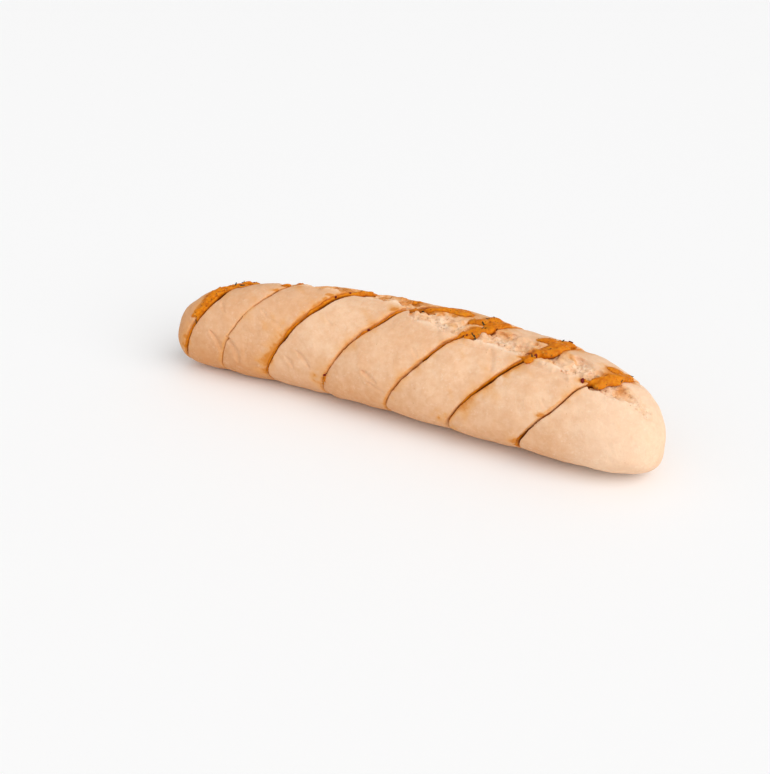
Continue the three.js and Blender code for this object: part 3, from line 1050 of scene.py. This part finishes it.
class BAGUETTE_OT_bread(bpy.types.Operator):
    """Make the bread, with its torn strip, its cuts and its crumb"""

    bl_idname = "baguette.bread"
    bl_label = "Bread"

    def execute(self, context):
        settings = context.scene.baguette_bread
        dough = MADE["dough"] = Dough(settings)
        points, faces = dough.block.surface(dough.bread)
        piece = mesh_piece("bread", points, faces, BREAD_TRIANGLES)
        points = points_of(piece)
        depth = -dough.block.sample(dough.crust, points)
        near, far = strip_places(*points.T)
        opening = strip_opening(points[:, 0])
        # Crumb shows well below the crust, and closer below it in the torn strip. Flour clings to the rim.
        strip = smoothstep(-0.2, 1, near) * smoothstep(0, 3, far) * opening
        crumb = np.maximum(smoothstep(1.0, 1.7, depth), smoothstep(0.25, 0.9, depth) * strip)
        rim = np.exp(-np.abs(near - 0.4) / 1.1) * opening * smoothstep(1.2, 0.2, depth)
        # The crust is browned and painted in shade low down and slice by slice, most towards the narrow end,
        # and painted paler at the broad end, as painted light.
        low = smoothstep(40, 2, points[:, 2])
        pale = smoothstep(*PAINTED_LIGHT_END, points[:, 0])
        past = np.stack([cut.straight(*points.T) > 0 for cut in SURFACES]).sum(axis=0)
        toast = np.clip(0.6 * low * (1 - 0.6 * pale) + np.array(SLICE_BROWNING_AND_SHADE)[past], 0, 1)
        # The broad end's painted light also mixes in the flour colour.
        rim = np.maximum(rim, 0.45 * pale)
        stain = stain_of(points, depth, crumb)
        for name, values in {"crumb": crumb, "rim": rim, "stain": stain, "toast": toast}.items():
            set_attribute(piece.data, name, values)
        declare(piece, bread_material(settings), "crust", "loaf")
        return {"FINISHED"}


class BAGUETTE_OT_butter(bpy.types.Operator):
    """Make the garlic butter of every cut"""

    bl_idname = "baguette.butter"
    bl_label = "Garlic Butter"

    def execute(self, context):
        settings = context.scene.baguette_butter
        material = butter_material(settings)
        MADE["butter"] = []
        for index, cut in enumerate(SURFACES):
            piece = self.fill(index, cut, settings)
            declare(piece, material, "garlic_butter", f"butter_{index + 1}")
            MADE["butter"].append(piece)
        return {"FINISHED"}

    def fill(self, index, cut, settings):
        """The butter of one cut: a sheet that fills its gap, with the lumps and spills that join it."""
        dough = MADE["dough"]
        block, window = dough.block.window(*cut.box(20))
        bread, crust = dough.bread[window], dough.crust[window]
        x, y, z = block.axes
        beside, gap = cut.run(x, y, z)
        near, far = strip_places(x, y, z)
        side = np.clip(beside / gap, -1, 1)
        crown = smoothstep(-2, 3, near) * smoothstep(-9, 0, far)
        swirl = Noise(81 + index, 6).on(block)
        # The sheet keeps back from the crust, more so where its gap is narrow and towards the slice beyond,
        # and less so over the torn strip, where it wells up.
        crevice = settings.crevice / MM
        wall = 0.4 + 1.8 * smoothstep(0.8, 0.3, gap) + crevice * smoothstep(-0.4, 0.5, side) + 0.3 * swirl
        torn = 0.5 - 0.35 * cut.lumps + 0.8 * crevice * smoothstep(0.2, 1, side) + 0.6 * swirl
        recess = wall + (torn - wall) * crown
        sheet = np.maximum(np.maximum(np.abs(beside) - gap - 0.8, crust + recess), HINGE - z)
        grain = layered(block, (0.26, 91 + index, 2.8), (0.12, 101 + index, 1.3))
        butter = smooth_min(sheet, self.lumps(index, cut, block, settings), 1.4)
        # What has spilled lies on the bread, and no butter reaches into the bread or below the cut.
        spilled = cut.spilled(x, y, z)[0] + 1.6 * grain + 0.3 * swirl
        butter = smooth_min(butter, np.where(spilled > -2, bread - spilled, BAND), 0.8) + grain
        butter = np.maximum(butter, 0.05 - bread)
        butter = np.maximum(butter, HINGE - z)
        points, faces = block.surface(butter)
        piece = mesh_piece(f"garlic_butter_{index + 1}", points, faces, BUTTER_TRIANGLES)
        points = points_of(piece)
        depth = -dough.block.sample(dough.crust, points)
        # How deep the butter lies below the crust, the mask of its painted shade.
        set_attribute(piece.data, "deep", smoothstep(0.5, 2.6, depth))
        return piece

    def lumps(self, index, cut, block, settings):
        """Lumps that well up over the torn strip, from a little before its near rim to beyond its far rim."""
        ahead, row, reach = math.radians(3), math.radians(38), 9
        random = np.random.default_rng(111 + index)
        rim = strip_rim(cut.at)
        field = np.full(block.size, BAND, np.float32)
        half = np.array([settings.lump_length, settings.lump_breadth, settings.lump_height]) / MM
        for i in range(cut.lumps):
            share = (i + 0.2 + 0.6 * random.random()) / cut.lumps
            centre = cut.meet(rim + ahead - row * share, -0.3)
            along_cut, across, up = half * random.uniform(0.7, 1.1)
            part, window = block.round(centre, reach)
            x, y, z = part.axes
            run = (x - centre[0]) * cut.course.x + (y - centre[1]) * cut.course.y
            aside = (x - centre[0]) * cut.course.y - (y - centre[1]) * cut.course.x
            gap = np.sqrt((run / along_cut) ** 2 + (aside / across) ** 2 + ((z - centre[2]) / up) ** 2)
            field[window] = smooth_min(field[window], (gap - 1) * up, 1.2)
        return field


class BAGUETTE_OT_toppings(bpy.types.Operator):
    """Make the herbs, chilli, garlic and spice in the butter"""

    bl_idname = "baguette.toppings"
    bl_label = "Toppings"

    # Places on the butter of a cut, by its number, an angle and a distance beside the cut.
    HERBS = ((0, 84, -5), (4, 102, 0.5), (6, 154, -0.4), (3, 92, 4.5), (5, 92, -1.5), (6, 88, -2.5))
    CHILLIS = ((4, 74, 0), (3, 126, 0.9), (4, 80, -6), (2, 96, -3))
    # Each kind: its setting, its piece, its chosen places, its width and its thickness as shares of its
    # length, its curl, how crumpled it is, how finely its ball is divided, and its roughness.
    KINDS = (
        ("herb", "herb_leaves", HERBS, 0.26, 0.13, 0.7, 0.5, 2, 0.6),
        ("chilli", "chilli_flakes", CHILLIS, 0.75, 0.4, 0.5, 1.3, 2, 0.35),
        ("garlic", "garlic_bits", (), 0.8, 0.6, 0, 1.2, 2, 0.4),
        ("spice", "ground_spice", (), 0.8, 0.7, 0, 1.4, 1, 0.6),
    )

    def execute(self, context):
        settings = context.scene.baguette_toppings
        points = np.vstack([points_of(piece) for piece in MADE["butter"]])
        normals = np.vstack([vectors(piece.data.vertex_normals, "vector") for piece in MADE["butter"]])
        dough = MADE["dough"]
        depth = -dough.block.sample(dough.crust, points)
        open_air = dough.block.sample(dough.bread, points + 1.5 * normals)
        high = points[:, 2] > TOPPINGS_ABOVE
        weight = smoothstep(1.2, -0.4, depth) * smoothstep(0.2, 1.0, open_air) * high
        tree = topping_tree()
        for seed, kind in enumerate(self.KINDS, 1):
            setting, name, chosen, width, thickness, curl, crumple, detail, roughness = kind
            random = np.random.default_rng(200 + seed)
            count, length = getattr(settings, f"{setting}s"), getattr(settings, f"{setting}_length")
            picked = random.choice(len(points), count, replace=False, p=weight / weight.sum())
            picked = np.append(picked, [self.nearest(points, *place) for place in chosen]).astype(int)
            finish = topping_material(name, getattr(settings, setting), roughness)
            piece = self.scatter(name, points[picked], normals[picked], tree, {
                "Length": length, "Width": width * length, "Thickness": thickness * length, "Curl": curl,
                "Crumple": crumple, "Detail": detail, "Seed": seed, "Finish": finish,
            })
            declare(piece, finish, "garlic_butter")
        return {"FINISHED"}

    def nearest(self, points, index, degrees, aside):
        """The point of the butter nearest to a place beside a cut."""
        place = SURFACES[index].meet(math.radians(degrees), 0.8) + np.array([aside, 0, 0])
        return int(((points - place) ** 2).sum(axis=1).argmin())

    def scatter(self, name, points, normals, tree, sizes):
        """A piece with one grain at each point."""
        mesh = bpy.data.meshes.new(name)
        mesh.from_pydata((points + SHIFT) * MM, [], [])
        set_attribute(mesh, "normal", normals, "FLOAT_VECTOR")
        piece = new_object(name, mesh)
        modifier = piece.modifiers.new("Scatter", "NODES")
        modifier.node_group = tree
        for socket in tree.interface.items_tree:
            if socket.in_out == "INPUT" and socket.name in sizes:
                modifier[socket.identifier] = sizes[socket.name]
        bake_modifiers(piece)
        piece.data.shade_smooth()
        return piece


class BAGUETTE_OT_stage(bpy.types.Operator):
    """Make the floor, the light and the camera"""

    bl_idname = "baguette.stage"
    bl_label = "Stage"

    # Half the floor's side in metres, and the way towards each light with its spread in degrees.
    FLOOR_REACH = 4
    KEY = (Vector((0.9, -0.3, 0.8)), 60)
    FILL = (Vector((-0.75, -0.9, 0.6)), 80)

    def execute(self, context):
        settings = context.scene.baguette_stage
        self.floor(settings)
        self.camera()
        self.sun("key", *self.KEY, settings.key)
        self.sun("fill", *self.FILL, settings.fill)
        world = bpy.data.worlds.new("world")
        world.use_nodes = True
        background = world.node_tree.nodes["Background"]
        background.inputs["Color"].default_value = (1, 1, 1, 1)
        background.inputs["Strength"].default_value = settings.sky
        context.scene.world = world
        context.scene.view_settings.view_transform = "Standard"
        return {"FINISHED"}

    def floor(self, settings):
        mesh = bpy.data.meshes.new("floor")
        reach = self.FLOOR_REACH
        corners = ((-reach, -reach, 0), (reach, -reach, 0), (reach, reach, 0), (-reach, reach, 0))
        mesh.from_pydata(corners, [], [(0, 1, 2, 3)])
        floor = new_object("floor", mesh)
        shader = Shader("pale_floor")
        mesh.materials.append(shader.finish(Base_Color=(*settings.floor, 1), Roughness=0.7))

    def camera(self):
        lens = bpy.data.cameras.new("camera")
        lens.sensor_width = SENSOR
        lens.lens = SENSOR * FOCAL_PIXELS / FRAME_PIXELS
        lens.clip_start = 0.01
        camera = new_object("camera", lens)
        level, down = math.cos(CAMERA_PITCH), -math.sin(CAMERA_PITCH)
        ahead = Vector((-math.sin(CAMERA_TURN) * level, math.cos(CAMERA_TURN) * level, down))
        self.aim(camera, ahead)
        camera.location = (Vector(CAMERA_PLACE) + Vector(SHIFT)) * MM
        bpy.context.scene.camera = camera

    def sun(self, name, towards, spread, strength):
        light = bpy.data.lights.new(name, "SUN")
        light.angle = math.radians(spread)
        light.energy = strength
        self.aim(new_object(name, light), -towards)

    def aim(self, thing, ahead):
        """Turns a camera or a lamp to look ahead."""
        thing.rotation_mode = "QUATERNION"
        thing.rotation_quaternion = ahead.to_track_quat("-Z", "Y")


OPERATORS = (BAGUETTE_OT_bread, BAGUETTE_OT_butter, BAGUETTE_OT_toppings, BAGUETTE_OT_stage)
SETTINGS = {
    "baguette_bread": BaguetteBread,
    "baguette_butter": BaguetteButter,
    "baguette_toppings": BaguetteToppings,
    "baguette_stage": BaguetteStage,
}


class BAGUETTE_PT_sidebar(bpy.types.Panel):
    """Lists the pieces of the baguette and their settings"""

    bl_idname = "BAGUETTE_PT_sidebar"
    bl_label = "Garlic Baguette"
    bl_space_type = "VIEW_3D"
    bl_region_type = "UI"
    bl_category = "Baguette"

    def draw(self, context):
        for operator, group in zip(OPERATORS, SETTINGS):
            box = self.layout.box()
            box.operator(operator.bl_idname)
            for name in SETTINGS[group].__annotations__:
                box.prop(getattr(context.scene, group), name)


CLASSES = (*SETTINGS.values(), *OPERATORS, BAGUETTE_PT_sidebar)


def register():
    for cls in CLASSES:
        bpy.utils.register_class(cls)
    for name, cls in SETTINGS.items():
        setattr(bpy.types.Scene, name, bpy.props.PointerProperty(type=cls))


def unregister():
    for name in SETTINGS:
        delattr(bpy.types.Scene, name)
    for cls in reversed(CLASSES):
        bpy.utils.unregister_class(cls)


def main():
    register()
    bpy.ops.baguette.bread()
    bpy.ops.baguette.butter()
    bpy.ops.baguette.toppings()
    bpy.ops.baguette.stage()


if __name__ == "__main__":
    main()
